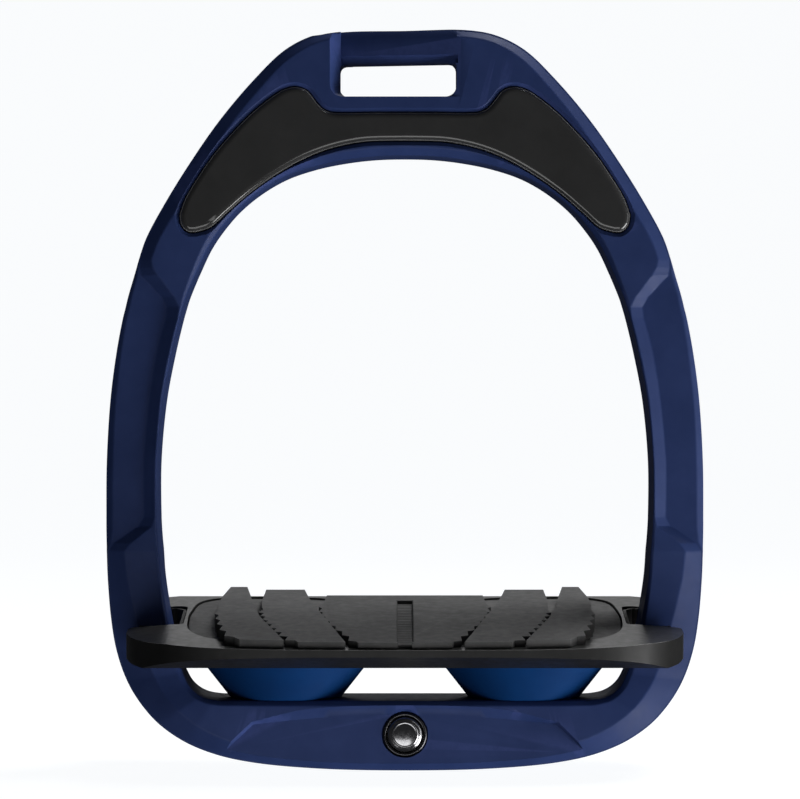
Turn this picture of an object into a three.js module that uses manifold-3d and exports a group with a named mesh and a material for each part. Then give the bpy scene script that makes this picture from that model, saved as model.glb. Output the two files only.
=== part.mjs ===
// Flexible-tread stirrup iron: a moulded branch, a forked tread on two rubber cones, and a grip pad.
// Millimetres. X runs across the iron, Y away from the decorated front, Z up.
// The origin is on the underside of the eye bar, where the stirrup leather bears.
import * as THREE from 'three';
import { mergeVertices } from 'three/addons/utils/BufferGeometryUtils.js';
import Module from 'manifold-3d';

const wasm = await Module();
wasm.setup();

// ---- driving dimensions -------------------------------------------------------------------------

const GAP = 0.3; // clearance between pieces that rest on each other
const BAR_HEIGHT = 82; // strap face of the eye bar above the iron's mid-height, where sections are drawn

const LEG_DEPTH = 10.2; // half depth of arch and legs, front to back
const BASE_DEPTH = 13.1; // half depth of the base
const BASE_TOP = -72.4; // level that the elastomers stand on

const SLOT = { left: -15.8, right: 12.5, top: 82, bottom: 73.2, cornerTop: 1, cornerBottom: 1.9 };
const BAR_YAW = THREE.MathUtils.degToRad(12); // the eye bar stands oblique to the arch
const BAR_DEPTH = 7.3; // half depth of the bar at the middle
const BEAD = { front: { rise: 1.4, reach: 3.8 }, back: { rise: 0.7, reach: 0.7 } };

const INSERT = { proud: 0.5, thick: 3.2, pocket: 3.0 };
const POCKET_FLOOR = -LEG_DEPTH + INSERT.pocket;
const MAGNETS = [
  { side: 'left', x: -38.3, z: 59, radius: 3.6 },
  { side: 'centre', x: 0, z: 66, radius: 2.8 },
  { side: 'right', x: 38.3, z: 59, radius: 3.6 },
];
const MAGNET_THICK = 2;
const BADGE = { level: -80.6, radius: 4.9, cup: 5.3, floor: 1.6, recess: 1.8 };

const TREAD_TILT = THREE.MathUtils.degToRad(7.75); // the toe side of the tread stands higher
const TREAD_LEVEL = -52.4; // top face of the tread over the middle of the base
const TREAD_THICK = 7;
const TREAD_REAR = 24.5; // straight toe-side edge, ahead of the middle
const NOTCH = { inner: 53.4, half: 11.6, middle: -0.5 }; // centred on the leg halfway down the plate
const LINER = 0.7; // wall of the notch liners
const LINER_DEEP = 5; // how far the liners reach down into the notches
const PAD = { sunk: 0.4, thick: 2.0, pocket: 2.7 };
const BLOCK_HEIGHTS = { centre: 2.2, middle: 2.4, outer: 3.0 };
const GROOVE = { notches: 12, pitch: 4, floor: 1.3 }; // down the middle of the centre block

const CONE = { x: 29, foot: 13.5, head: 20.9, knee: 9.4, height: 24 };
const SOCKET = { radius: 21.6, depth: 1.5 }; // recess under the tread that hides the elastomer's head
const DISC = { radius: 10, thick: 2 };
const SEAT_Y = -TREAD_THICK * Math.sin(TREAD_TILT); // an elastomer's axis where it meets the tilted tread
const SCREW = { shank: 2.4, hole: 3.2, head: 4.4 };
const BASE_BOSS = { radius: 4, low: -81 };
const COUNTERBORE = { radius: 5.9, floor: -82.6 };
const PAD_SCREW = { shank: 1.4, head: 2.6, headThick: 1.6, length: 3.4 };
const PAD_SCREWS = [
  { name: 'left_toe', x: -5, y: 12 },
  { name: 'right_toe', x: 5, y: 12 },
  { name: 'left_heel', x: -15, y: -25 },
  { name: 'right_heel', x: 15, y: -25 },
];

// ---- materials ----------------------------------------------------------------------------------

const finish = (color, roughness, metalness = 0) => ({ color, roughness, metalness });
const NAVY = finish(0x25305a, 0.45);
const GLOSS_BLACK = finish(0x161616, 0.12);
const TREAD_BLACK = finish(0x3a3a3a, 0.35);
const GRIP_GREY = finish(0x3e3e3e, 0.75);
const RUBBER_BLUE = finish(0x10325c, 0.6);
const RUBBER_BLACK = finish(0x151515, 0.8);
const STEEL = finish(0xb4b6b8, 0.3, 1);
const DARK_CHROME = finish(0x6a6c70, 0.12, 1);

// ---- solids -------------------------------------------------------------------------------------

function signedVolume(position, faces) {
  const corner = (i) => new THREE.Vector3().fromArray(position, 3 * i);
  let sum = 0;
  for (let i = 0; i < faces.length; i += 3) {
    sum += corner(faces[i]).dot(corner(faces[i + 1]).cross(corner(faces[i + 2])));
  }
  return sum / 6;
}

// A closed geometry as a solid that can be joined and cut, with its faces pointing out.
function solid(geometry) {
  const bare = geometry.clone();
  bare.deleteAttribute('normal');
  bare.deleteAttribute('uv');
  const merged = mergeVertices(bare, 1e-4);
  const index = merged.index.array;
  const faces = [];
  for (let i = 0; i < index.length; i += 3) {
    const [a, b, c] = index.slice(i, i + 3);
    if (a !== b && b !== c && c !== a) faces.push(a, b, c);
  }
  const position = new Float32Array(merged.attributes.position.array);
  if (signedVolume(position, faces) < 0) faces.reverse();
  return new wasm.Manifold(new wasm.Mesh({
    numProp: 3,
    vertProperties: position,
    triVerts: new Uint32Array(faces),
  }));
}

function geometryOf(manifold) {
  const mesh = manifold.getMesh();
  const geometry = new THREE.BufferGeometry();
  geometry.setAttribute('position', new THREE.BufferAttribute(new Float32Array(mesh.vertProperties), 3));
  geometry.setIndex(new THREE.BufferAttribute(new Uint32Array(mesh.triVerts), 1));
  geometry.computeVertexNormals();
  return geometry;
}

function addPiece(parent, name, manifold, look) {
  const material = new THREE.MeshStandardMaterial(look);
  const mesh = new THREE.Mesh(geometryOf(manifold), material);
  mesh.name = name;
  parent.add(mesh);
  return mesh;
}

// An outline in X and Z pushed along Y from front to back.
function slabAcross(outline, front, back, curveSegments = 8) {
  const geometry = new THREE.ExtrudeGeometry(outline, {
    depth: back - front, bevelEnabled: false, curveSegments,
  });
  geometry.rotateX(Math.PI / 2);
  geometry.translate(0, back, 0);
  return solid(geometry);
}

// An outline in X and Y pushed up from low to high.
function slabUp(outline, low, high, curveSegments = 8) {
  const geometry = new THREE.ExtrudeGeometry(outline, {
    depth: high - low, bevelEnabled: false, curveSegments,
  });
  geometry.translate(0, 0, low);
  return solid(geometry);
}

function box(low, high) {
  const size = new THREE.Vector3().subVectors(high, low);
  const geometry = new THREE.BoxGeometry(size.x, size.y, size.z);
  geometry.translate((low.x + high.x) / 2, (low.y + high.y) / 2, (low.z + high.z) / 2);
  return solid(geometry);
}

// A round solid about Z from [radius, height] pairs that start and end on the axis.
function turned(profile, segments = 32) {
  return solid(new THREE.LatheGeometry(profile.map(([r, h]) => new THREE.Vector2(r, h)), segments)
    .rotateX(Math.PI / 2));
}

function rod(radius, low, high, segments = 32) {
  return turned([[0, low], [radius, low], [radius, high], [0, high]], segments);
}

// A closed skin through sections with equal numbers of points; ring joins the last to the first.
function skin(sections, ring) {
  const count = sections[0].length;
  const position = sections.flat().flatMap((p) => [p.x, p.y, p.z]);
  const faces = [];
  const last = ring ? sections.length : sections.length - 1;
  for (let i = 0; i < last; i++) {
    const here = i * count;
    const next = ((i + 1) % sections.length) * count;
    for (let j = 0; j < count; j++) {
      const k = (j + 1) % count;
      faces.push(here + j, next + j, next + k, here + j, next + k, here + k);
    }
  }
  if (!ring) {
    for (let j = 1; j < count - 1; j++) {
      faces.push(0, j, j + 1);
      faces.push(last * count, last * count + j + 1, last * count + j);
    }
  }
  const geometry = new THREE.BufferGeometry();
  geometry.setAttribute('position', new THREE.Float32BufferAttribute(position, 3));
  geometry.setIndex(faces);
  return solid(geometry);
}

const mirrored = (points) => points.map(([x, y]) => [-x, y]).reverse();
const vectors = (points) => points.map(([x, y]) => new THREE.Vector2(x, y));

// ---- branch -------------------------------------------------------------------------------------

// Half of the ring, from the top of the arch to the middle of the base. Each section runs from the
// outer edge to the inner edge, and its front is: edge break, side panel, slope, raised face, inner
// chamfer. The side panel lies `sunk` below the raised face, from `edge` to `foot`, and the slope
// rises from `foot` to `crest`. Where there is no panel the slope is the outer chamfer.
const SECTIONS = [
  { outer: [0, 89.4], inner: [0, 59.1], crest: 1.9, sunk: 1.6, inside: 1.9, steps: 2 },
  { outer: [16, 89.3], inner: [7, 58.9], crest: 1.9, sunk: 1.6, inside: 1.9, steps: 1 },
  { outer: [22.4, 88], inner: [14, 58.1], crest: 2.1, sunk: 1.6, inside: 1.9, steps: 2 },
  { outer: [29, 84.6], inner: [21.4, 56.6], crest: 2.6, sunk: 1.7, inside: 1.8, steps: 2 },
  { outer: [36.5, 77.4], inner: [28.8, 54.1], crest: 3, sunk: 1.8, inside: 1.7, steps: 2 },
  { outer: [44.7, 67.7], inner: [35.2, 50.4], crest: 3.2, sunk: 1.9, inside: 1.6, steps: 2 },
  { outer: [51.5, 58], inner: [40.6, 45.9], crest: 3.3, sunk: 2, inside: 1.5, steps: 2 },
  { outer: [57.5, 48.4], inner: [44.9, 40.8], crest: 3.3, sunk: 2, inside: 1.3, steps: 2 },
  { outer: [62.5, 39.2], inner: [47.4, 37], crest: 3.2, sunk: 2.1, inside: 1.2, steps: 1 },
  { outer: [64.3, 34], inner: [48.9, 34], crest: 3.1, sunk: 2.2, inside: 1.2, steps: 1 },
  { outer: [64.9, 32], inner: [49.8, 32], edge: 0.4, foot: 0.9, crest: 4, inside: 1.1, steps: 1 },
  { outer: [65.5, 30], inner: [50.7, 30], edge: 0.8, foot: 1.7, crest: 5.8, inside: 1, steps: 2 },
  { outer: [67, 24.9], inner: [52.8, 24.9], edge: 0.9, foot: 8.3, crest: 11.3, inside: 0.7, steps: 1 },
  { outer: [67.6, 22.4], inner: [53.6, 22.4], edge: 1, foot: 10.2, crest: 13.1, inside: 0.5, steps: 1 },
  { outer: [68.3, 19.6], inner: [54.4, 19.6], edge: 1, foot: 10.6, crest: 13.4, inside: 0.4, steps: 2 },
  { outer: [69.8, 11.6], inner: [56.3, 11.6], edge: 1.2, foot: 9.9, crest: 12.9, inside: 0.4, steps: 2 },
  { outer: [71.3, 0], inner: [58.5, 0], edge: 1.4, foot: 9.6, crest: 12.2, inside: 0.4, steps: 3 },
  { outer: [72.2, -15], inner: [59.9, -15], edge: 1.6, foot: 9.1, crest: 11.9, inside: 0.3, steps: 3 },
  { outer: [72.3, -28.2], inner: [59.9, -28.2], edge: 1.6, foot: 9.3, crest: 11.9, inside: 0.3, steps: 1 },
  { outer: [72.3, -30.6], inner: [59.8, -30.6], edge: 1.6, foot: 8, crest: 11.3, inside: 0.4, steps: 2 },
  { outer: [72.2, -34.6], inner: [59.5, -34.6], edge: 1.1, foot: 1.8, crest: 6, inside: 0.5, steps: 1 },
  { outer: [72.1, -36.6], inner: [59.3, -36.6], crest: 4.4, sunk: 2.2, inside: 0.5, steps: 2 },
  { outer: [71.9, -43], inner: [58.8, -43], depth: 9.8, crest: 4.9, sunk: 2.3, inside: 0.6, steps: 3 },
  { outer: [71.1, -53.2], inner: [57.2, -53], depth: 9.4, crest: 6.5, sunk: 2.6, inside: 0.8, steps: 2 },
  { outer: [69.8, -60.8], inner: [55.6, -60], depth: 9.4, crest: 7.2, sunk: 2.9, inside: 0.9, steps: 2 },
  { outer: [67.4, -67.7], inner: [53.8, -65.8], depth: 9.8, crest: 7, sunk: 3, inside: 1, steps: 2 },
  { outer: [64.2, -73], inner: [51.9, -69.3], depth: 11, crest: 6.6, sunk: 3, inside: 1.1, steps: 2 },
  { outer: [59.6, -78.1], inner: [49.2, -71.4], depth: 12.3, crest: 6, sunk: 3, inside: 1.2, steps: 2 },
  { outer: [53.2, -82.5], inner: [45.6, -72.3], depth: 12.9, crest: 5.2, sunk: 3, inside: 1.2, steps: 2 },
  { outer: [45.5, -85.6], inner: [40.5, BASE_TOP], depth: 13.1, crest: 4.4, sunk: 3, inside: 1.2, steps: 2 },
  { outer: [36, -87.6], inner: [33, BASE_TOP], depth: 13.1, crest: 3.8, sunk: 3, inside: 1.2, steps: 2 },
  { outer: [20, -89], inner: [18, BASE_TOP], depth: 13.1, crest: 3.4, sunk: 3, inside: 1.2, steps: 2 },
  { outer: [0, -89.4], inner: [0, BASE_TOP], depth: 13.1, crest: 3.4, sunk: 3, inside: 1.2, steps: 2 },
];

const LIMBS = SECTIONS.map((s) => ({
  outer: s.outer,
  inner: s.inner,
  depth: s.depth ?? LEG_DEPTH,
  edge: s.edge ?? 0.2,
  foot: s.foot ?? 0.5,
  crest: s.crest,
  sunk: s.sunk ?? 2.2,
  inside: s.inside,
  steps: s.steps,
}));

// The loop of points of one section, out along its front and back along its rear.
function sectionLoop(outer, inner, size) {
  const width = outer.distanceTo(inner);
  const at = (distance, y) => {
    const p = outer.clone().lerp(inner, distance / width);
    return new THREE.Vector3(p.x, y, p.y);
  };
  const face = size.depth;
  const panel = size.depth - size.sunk;
  const front = [
    [0, panel - size.edge * 0.8],
    [size.edge, panel],
    [size.foot, panel],
    [size.crest, face],
    [Math.max(size.crest + 0.3, width - size.inside), face],
    [width, face - Math.max(size.inside, 0.3)],
  ];
  return [
    ...front.map(([d, y]) => at(d, -y)),
    ...front.reverse().map(([d, y]) => at(d, y)),
  ];
}

function ringSections() {
  const half = LIMBS;
  const full = [...half, ...half.slice(1, -1).reverse().map((s) => ({
    ...s, outer: [-s.outer[0], s.outer[1]], inner: [-s.inner[0], s.inner[1]],
  }))];
  const loopOf = (key) => new THREE.CatmullRomCurve3(
    full.map((s) => new THREE.Vector3(s[key][0], s[key][1], 0)), true, 'centripetal');
  const outerLoop = loopOf('outer');
  const innerLoop = loopOf('inner');
  const sizes = ['depth', 'edge', 'foot', 'crest', 'sunk', 'inside'];
  const loops = [];
  full.forEach((section, i) => {
    const next = full[(i + 1) % full.length];
    const steps = i < half.length - 1 ? section.steps : next.steps;
    for (let k = 0; k < steps; k++) {
      const along = k / steps;
      const u = (i + along) / full.length;
      const size = {};
      sizes.forEach((key) => {
        size[key] = THREE.MathUtils.lerp(section[key], next[key], along);
      });
      const outer = outerLoop.getPoint(u);
      const inner = innerLoop.getPoint(u);
      loops.push(sectionLoop(new THREE.Vector2(outer.x, outer.y), new THREE.Vector2(inner.x, inner.y), size));
    }
  });
  return loops;
}

// The opening that the stirrup leather passes through.
function slotOutline() {
  const { left, right, top, bottom, cornerTop: a, cornerBottom: b } = SLOT;
  const outline = new THREE.Shape();
  outline.moveTo(left + b, bottom);
  outline.lineTo(right - b, bottom);
  outline.quadraticCurveTo(right, bottom, right, bottom + b);
  outline.lineTo(right, top - a);
  outline.quadraticCurveTo(right, top, right - a, top);
  outline.lineTo(left + a, top);
  outline.quadraticCurveTo(left, top, left, top - a);
  outline.lineTo(left, bottom + b);
  outline.quadraticCurveTo(left, bottom, left + b, bottom);
  return outline;
}

// What is cut away in front of the oblique eye bar: a channel with a leaning, round-footed end wall,
// and a long chamfer (the bead) under the bar's face.
function barRelief(bead) {
  const end = SLOT.left + 0.3;
  const right = SLOT.right + 10;
  const high = SLOT.top + 20;
  const round = 3.4;
  const faceAt = (x) => -BAR_DEPTH - x * Math.tan(BAR_YAW);
  const corner = [];
  for (let i = 0; i <= 5; i++) {
    const angle = Math.PI + (i / 5) * Math.PI / 2;
    corner.push([end + round + round * Math.cos(angle), SLOT.bottom + round + round * Math.sin(angle)]);
  }
  const outline = [[end, high], ...corner, [right, SLOT.bottom], [right, high]];
  const lean = 0.42;
  const channel = skin([-16, 4].map((y) => outline.map(([x, z]) => (
    new THREE.Vector3(x === right ? x : x + lean * (y - faceAt(end)), y, z)
  ))), false);
  const front = new THREE.Shape(vectors([
    [end - 12, -20], [right, -20], [right, faceAt(right)], [end - 12, faceAt(end - 12)],
  ]));
  const { rise, reach } = bead;
  const beads = skin([SLOT.left + 0.6, SLOT.right + 0.2].map((x) => [
    new THREE.Vector3(x, faceAt(x) - reach / 2, SLOT.top - rise / 2),
    new THREE.Vector3(x, faceAt(x) - reach / 2, SLOT.top + rise * 1.5),
    new THREE.Vector3(x, faceAt(x) + reach * 1.5, SLOT.top - rise / 2),
  ]), false);
  return channel.intersect(slabUp(front, 0, high + 10)).add(beads);
}

// The moustache outline of the arch insert, grown by a margin for its pocket.
const INSERT_EDGE = [
  [[0, 69.3], [8, 69.3], [14.4, 69.2], [17.8, 69.4], [20, 70.4], [21.7, 72.3], [23.6, 74.6], [26.1, 75.5],
    [28.9, 75], [31.7, 73.4], [36.5, 69.6], [41.3, 64.8], [46.2, 59.1], [50.2, 53.3], [53, 48.5],
    [54.4, 44.6]],
  [[54.4, 44.6], [53.9, 42.1], [52.3, 40.6], [50.4, 40.5]],
  [[50.4, 40.5], [47, 41.6], [42.9, 45.2], [37.3, 50], [30.9, 54.5], [24.5, 58.1], [18.8, 60.4],
    [13.2, 61.8], [8.9, 62.4], [0, 62.6]],
];

function insertOutline(margin) {
  const half = INSERT_EDGE.flatMap((run, i) => {
    const curve = new THREE.CatmullRomCurve3(run.map(([x, z]) => new THREE.Vector3(x, z, 0)), false,
      'centripetal');
    const points = curve.getPoints(i === 1 ? 6 : 20);
    return i === 0 ? points : points.slice(1);
  });
  const grown = half.map((point, i) => {
    const before = half[Math.max(i - 1, 0)];
    const after = half[Math.min(i + 1, half.length - 1)];
    const along = after.clone().sub(before).normalize();
    return [Math.max(point.x - along.y * margin, 0), point.y + along.x * margin];
  });
  return new THREE.Shape(vectors([...grown, ...mirrored(grown.slice(1, -1))]));
}

// The shallow trapezoid panel on the front and back of the base, open at the bottom.
function basePanel() {
  const upper = [[43.1, -92], [43.1, -84.4], [36.5, -77.5], [24.7, -74.6], [12, -73.5], [0, -73.2]];
  const lower = [[41.6, -92], [41.6, -84.2], [36.1, -78.6], [24.5, -76.9], [12, -76.1], [0, -75.7]];
  const loop = (half, y) => [...half, ...mirrored(half.slice(0, -1))].map(([x, z]) =>
    new THREE.Vector3(x, y, z));
  const reach = 1;
  const outward = lower.map(([x, z], i) => {
    const grow = (BADGE.floor + reach) / BADGE.floor;
    return [x + (upper[i][0] - x) * grow, z + (upper[i][1] - z) * grow];
  });
  return skin([loop(outward, -BASE_DEPTH - reach), loop(lower, -BASE_DEPTH + BADGE.floor)], false);
}

function facingFront(manifold, x, y, z) {
  return manifold.rotate([90, 0, 0]).translate([x, y, z]);
}

function branchSolid() {
  const back = (manifold) => manifold.rotate([0, 0, 180]);
  let branch = skin(ringSections(), true);
  branch = branch.subtract(barRelief(BEAD.front)).subtract(back(barRelief(BEAD.back)));
  branch = branch.subtract(slabAcross(slotOutline(), -20, 20, 3));
  branch = branch.subtract(slabAcross(insertOutline(GAP), -20, POCKET_FLOOR));
  MAGNETS.forEach(({ x, z, radius }) => {
    branch = branch.subtract(facingFront(rod(radius + GAP, -1, MAGNET_THICK + 2 * GAP, 20), x,
      POCKET_FLOOR + MAGNET_THICK + 2 * GAP, z));
  });
  branch = branch.subtract(basePanel()).subtract(back(basePanel()));
  branch = branch.subtract(facingFront(rod(BADGE.cup + GAP, 0, 10, 32), 0,
    -BASE_DEPTH + BADGE.floor + BADGE.recess, BADGE.level));
  [-CONE.x, CONE.x].forEach((x) => {
    const bore = rod(BASE_BOSS.radius + GAP, COUNTERBORE.floor - 1, BASE_TOP + 1, 24);
    const mouth = rod(COUNTERBORE.radius, -95, COUNTERBORE.floor, 24);
    branch = branch.subtract(bore.add(mouth).translate([x, 0, 0]));
  });
  return branch;
}

// ---- arch insert and badge ----------------------------------------------------------------------

function insertSolid() {
  const front = -LEG_DEPTH - INSERT.proud;
  return slabAcross(insertOutline(0), front, front + INSERT.thick);
}

function badgeCup() {
  const floor = BADGE.recess - GAP;
  const wall = BADGE.cup - BADGE.radius + 0.7;
  const cup = turned([
    [0, 0], [BADGE.cup, 0], [BADGE.cup, floor + 0.4], [BADGE.cup - wall + 0.2, floor + 0.4],
    [BADGE.cup - wall, 0.6], [0, 0.6],
  ], 40);
  return facingFront(cup, 0, -BASE_DEPTH + BADGE.floor + floor, BADGE.level);
}

function badgeDome() {
  const radius = BADGE.radius - 1;
  const profile = [[0, 0.9], [radius, 0.9]];
  const rise = 1.3;
  for (let i = 0; i <= 6; i++) {
    const angle = (i / 6) * Math.PI / 2;
    profile.push([radius * Math.cos(angle), 1.7 + rise * Math.sin(angle)]);
  }
  return facingFront(turned(profile, 40), 0, -BASE_DEPTH + BADGE.floor + BADGE.recess - GAP, BADGE.level);
}

// ---- fixings of the elastomers in the base ------------------------------------------------------

function baseDisc() {
  const low = BASE_TOP + GAP;
  return turned([
    [SCREW.shank + GAP, BASE_BOSS.low], [BASE_BOSS.radius, BASE_BOSS.low], [BASE_BOSS.radius, low],
    [DISC.radius, low], [DISC.radius, low + DISC.thick], [SCREW.shank + GAP, low + DISC.thick],
    [SCREW.shank + GAP, BASE_BOSS.low],
  ], 28);
}

function baseWasher() {
  const top = COUNTERBORE.floor - GAP;
  return turned([
    [SCREW.shank + GAP, top - 1], [5.3, top - 1], [5.3, top], [SCREW.shank + GAP, top],
    [SCREW.shank + GAP, top - 1],
  ], 28);
}

// A cap screw standing on its head: the shank points up.
function capScrew(headRadius, headThick, length, keySize) {
  const body = turned([
    [0, 0], [headRadius - 0.4, 0], [headRadius, 0.4], [headRadius, headThick], [SCREW.shank, headThick],
    [SCREW.shank, headThick + length], [0, headThick + length],
  ], 28);
  const key = solid(new THREE.CylinderGeometry(keySize, keySize, headThick, 6).rotateX(Math.PI / 2));
  return body.subtract(key.translate([0, 0, headThick * 0.1]));
}

// ---- elastomers ---------------------------------------------------------------------------------

const treadPose = new THREE.Matrix4().makeRotationX(TREAD_TILT).setPosition(0, 0, TREAD_LEVEL);
const inTreadPose = (manifold) => manifold.transform(treadPose.elements);

function elastomer(x) {
  const { foot, head, knee, height } = CONE;
  const cone = turned([
    [0, 0], [foot - 0.4, 0], [foot, 0.4], [head - 0.5, knee - 0.6], [head, knee + 0.5],
    [head, height], [0, height],
  ], 40).translate([x, 0, BASE_TOP + GAP]);
  const ceiling = -TREAD_THICK - 0.2;
  const above = inTreadPose(box(new THREE.Vector3(-80, -60, ceiling), new THREE.Vector3(80, 60, 40)));
  const footSeat = rod(DISC.radius + GAP, -1, DISC.thick + 2 * GAP, 28).translate([x, 0, BASE_TOP]);
  const seatFloor = -TREAD_THICK - 2.6;
  const headSeat = rod(DISC.radius + 0.8, seatFloor, 0, 28).translate([x, SEAT_Y, 0]);
  const bore = rod(SCREW.hole + 1.8, seatFloor - 2.6, 0, 20).translate([x, SEAT_Y, 0]);
  return cone.subtract(above).subtract(footSeat).subtract(inTreadPose(headSeat.add(bore)));
}

// ---- tread, drawn flat with its top face at zero ------------------------------------------------

function treadOutline() {
  const { inner, half, middle } = NOTCH;
  const toe = middle + half;
  const heel = middle - half;
  const tip = 66.6;
  const round = 2;
  const outline = new THREE.Shape();
  const side = (s) => ({
    line: (x, y) => outline.lineTo(s * x, y),
    bend: (cx, cy, x, y) => outline.quadraticCurveTo(s * cx, cy, s * x, y),
  });
  outline.moveTo(0, TREAD_REAR);
  const notch = (fork, s) => {
    const [from, to] = s > 0 ? [toe, heel] : [heel, toe];
    fork.line(tip, from + s * round);
    fork.bend(tip, from, tip - round, from);
    fork.line(inner + round, from);
    fork.bend(inner, from, inner, from - s * round);
    fork.line(inner, to + s * round);
    fork.bend(inner, to, inner + round, to);
    fork.line(tip - round, to);
    fork.bend(tip, to, tip, to - s * round);
  };
  const right = side(1);
  right.line(62, TREAD_REAR);
  right.bend(tip, TREAD_REAR, tip, TREAD_REAR - 4.5);
  notch(right, 1);
  right.line(tip, -19);
  const near = [[64.8, -25.5], [60.6, -32], [55, -36.8], [46, -40.4], [30, -42.8], [0, -43.5]];
  outline.splineThru(vectors([...near, ...mirrored(near.slice(0, -1)), [-tip, -19]]));
  const left = side(-1);
  notch(left, -1);
  left.line(tip, TREAD_REAR - 4.5);
  left.bend(tip, TREAD_REAR, 62, TREAD_REAR);
  return outline;
}

function padOutline(margin) {
  const half = [
    [0, 16], [12, 17.2], [21, 21.4], [28, 22.5], [44, 22.5], [49.8, 18], [52, 5], [52.3, -6],
    [51.2, -19], [47.4, -27], [40, -32.2], [28, -35.6], [0, -37],
  ];
  const grown = half.map(([x, y]) => {
    const length = Math.hypot(x, y + 9);
    return [x === 0 ? 0 : x + margin * x / length, y + margin * (y + 9) / length];
  });
  const loop = [...grown, ...mirrored(grown.slice(1, -1))].map(([x, y]) => new THREE.Vector3(x, y, 0));
  const curve = new THREE.CatmullRomCurve3(loop, true, 'centripetal');
  return new THREE.Shape(curve.getPoints(72).slice(0, -1).map((p) => new THREE.Vector2(p.x, p.y)));
}

function treadSolid() {
  let plate = slabUp(treadOutline(), -TREAD_THICK, 0, 5);
  // the underside is hollowed back from the near edge, so that the middle of the lip is thin
  const scoop = skin([-90, 90].map((x) => [
    new THREE.Vector3(x, -60, -1.5 + 7.2),
    new THREE.Vector3(x, -43.5, -1.7),
    new THREE.Vector3(x, -30, -TREAD_THICK),
    new THREE.Vector3(x, -30, -TREAD_THICK - 8),
    new THREE.Vector3(x, -60, -TREAD_THICK - 8),
  ]), false);
  plate = plate.subtract(scoop);
  plate = plate.subtract(slabUp(padOutline(GAP), -PAD.pocket, 5));
  [-CONE.x, CONE.x].forEach((x) => {
    const socket = rod(SOCKET.radius, -TREAD_THICK - 1, -TREAD_THICK + SOCKET.depth, 40);
    const hole = rod(SCREW.hole, -TREAD_THICK - 1, 0, 20);
    const head = rod(SCREW.head + 0.8, -4.9, 0, 24);
    plate = plate.subtract(socket.add(hole).add(head).translate([x, SEAT_Y, 0]));
  });
  PAD_SCREWS.forEach(({ x, y }) => {
    const hole = rod(PAD_SCREW.shank + GAP, -TREAD_THICK - 1, 0, 12);
    const head = rod(PAD_SCREW.head + GAP, -TREAD_THICK - 1, -4.6, 16);
    plate = plate.subtract(hole.add(head).translate([x, y, 0]));
  });
  return plate;
}

// ---- grip pad -----------------------------------------------------------------------------------

// Points along an edge with saw teeth that stick out to one side of it.
function serrated(points, teeth, depth, side, from = 0, to = 1) {
  const curve = new THREE.CatmullRomCurve3(points.map(([x, y]) => new THREE.Vector3(x, y, 0)), false,
    'centripetal');
  const edge = [];
  const plain = 3;
  for (let i = 0; i < plain && from > 0; i++) edge.push(curve.getPointAt(from * i / plain));
  for (let i = 0; i < teeth; i++) {
    const root = from + (to - from) * i / teeth;
    const tip = from + (to - from) * (i + 0.72) / teeth;
    const along = curve.getTangentAt(tip);
    const point = curve.getPointAt(tip);
    edge.push(curve.getPointAt(root));
    edge.push(new THREE.Vector3(point.x - side * along.y * depth, point.y + side * along.x * depth, 0));
  }
  edge.push(curve.getPointAt(to));
  for (let i = 1; i <= plain && to < 1; i++) edge.push(curve.getPointAt(to + (1 - to) * i / plain));
  return edge.map((p) => [p.x, p.y]);
}

function smooth(points, count) {
  const curve = new THREE.CatmullRomCurve3(points.map(([x, y]) => new THREE.Vector3(x, y, 0)), false,
    'centripetal');
  return curve.getPoints(count).map((p) => [p.x, p.y]);
}

// Left-hand blocks; each runs from toe to heel down its outer edge and back up its inner edge.
function outerBlock() {
  return [
    ...serrated([[-43.3, 21], [-45.1, 4], [-45, -10], [-43.6, -24], [-41, -36], [-38.6, -40.4]],
      5, 0.8, -1, 0.5, 0.95),
    [-28.3, -41.4],
    ...smooth([[-34.4, -18.6], [-36.4, -7], [-37.8, 8], [-39.2, 21]], 5),
  ];
}

function middleBlock() {
  return [
    ...serrated([[-34.5, 20.5], [-34.9, 2], [-33.3, -15.6], [-31, -25.6], [-28, -34.5], [-24.9, -41.6]],
      8, 1.2, -1, 0.42, 0.97),
    [-13.9, -42],
    ...smooth([[-17.4, -25], [-21, -6], [-23.6, 10], [-24.9, 20.5]], 5),
  ];
}

function centreBlock() {
  const edge = serrated([[-19.3, 14], [-20.1, -4.5], [-18.7, -16], [-16.2, -25.5], [-13.6, -33.5],
    [-10.9, -42]], 8, 1.2, -1, 0.2, 0.97);
  const groove = [[-1.6, -42.3]];
  const { notches, pitch } = GROOVE;
  for (let i = 0; i < notches; i++) {
    const y = -41 + i * pitch;
    groove.push([-1.65, y], [-2.1, y + pitch / 2]);
  }
  const left = [...edge, ...groove, [-2.07, -41 + notches * pitch]];
  return [...left, ...mirrored(left)];
}

function padSolid() {
  const top = -PAD.sunk;
  let pad = slabUp(padOutline(0), top - PAD.thick, top);
  const blocks = [
    { outline: outerBlock(), height: BLOCK_HEIGHTS.outer, pair: true },
    { outline: middleBlock(), height: BLOCK_HEIGHTS.middle, pair: true },
    { outline: centreBlock(), height: BLOCK_HEIGHTS.centre, pair: false },
  ];
  blocks.forEach(({ outline, height, pair }) => {
    const shapes = pair ? [outline, mirrored(outline)] : [outline];
    shapes.forEach((points) => {
      const block = slabUp(new THREE.Shape(vectors(points)), GAP, height);
      const root = slabUp(new THREE.Shape(vectors(points)), top - 0.2, height)
        .intersect(slabUp(padOutline(-0.1), top - 1, 10));
      pad = pad.add(block).add(root);
    });
  });
  pad = pad.add(box(new THREE.Vector3(-2.4, -41, GAP), new THREE.Vector3(2.4, 10, GROOVE.floor)));
  PAD_SCREWS.forEach(({ x, y }) => {
    const hole = rod(PAD_SCREW.shank + GAP, -PAD.sunk - PAD.thick - 1, 0.6, 12);
    pad = pad.subtract(hole.translate([x, y, 0]));
  });
  return pad;
}

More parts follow.
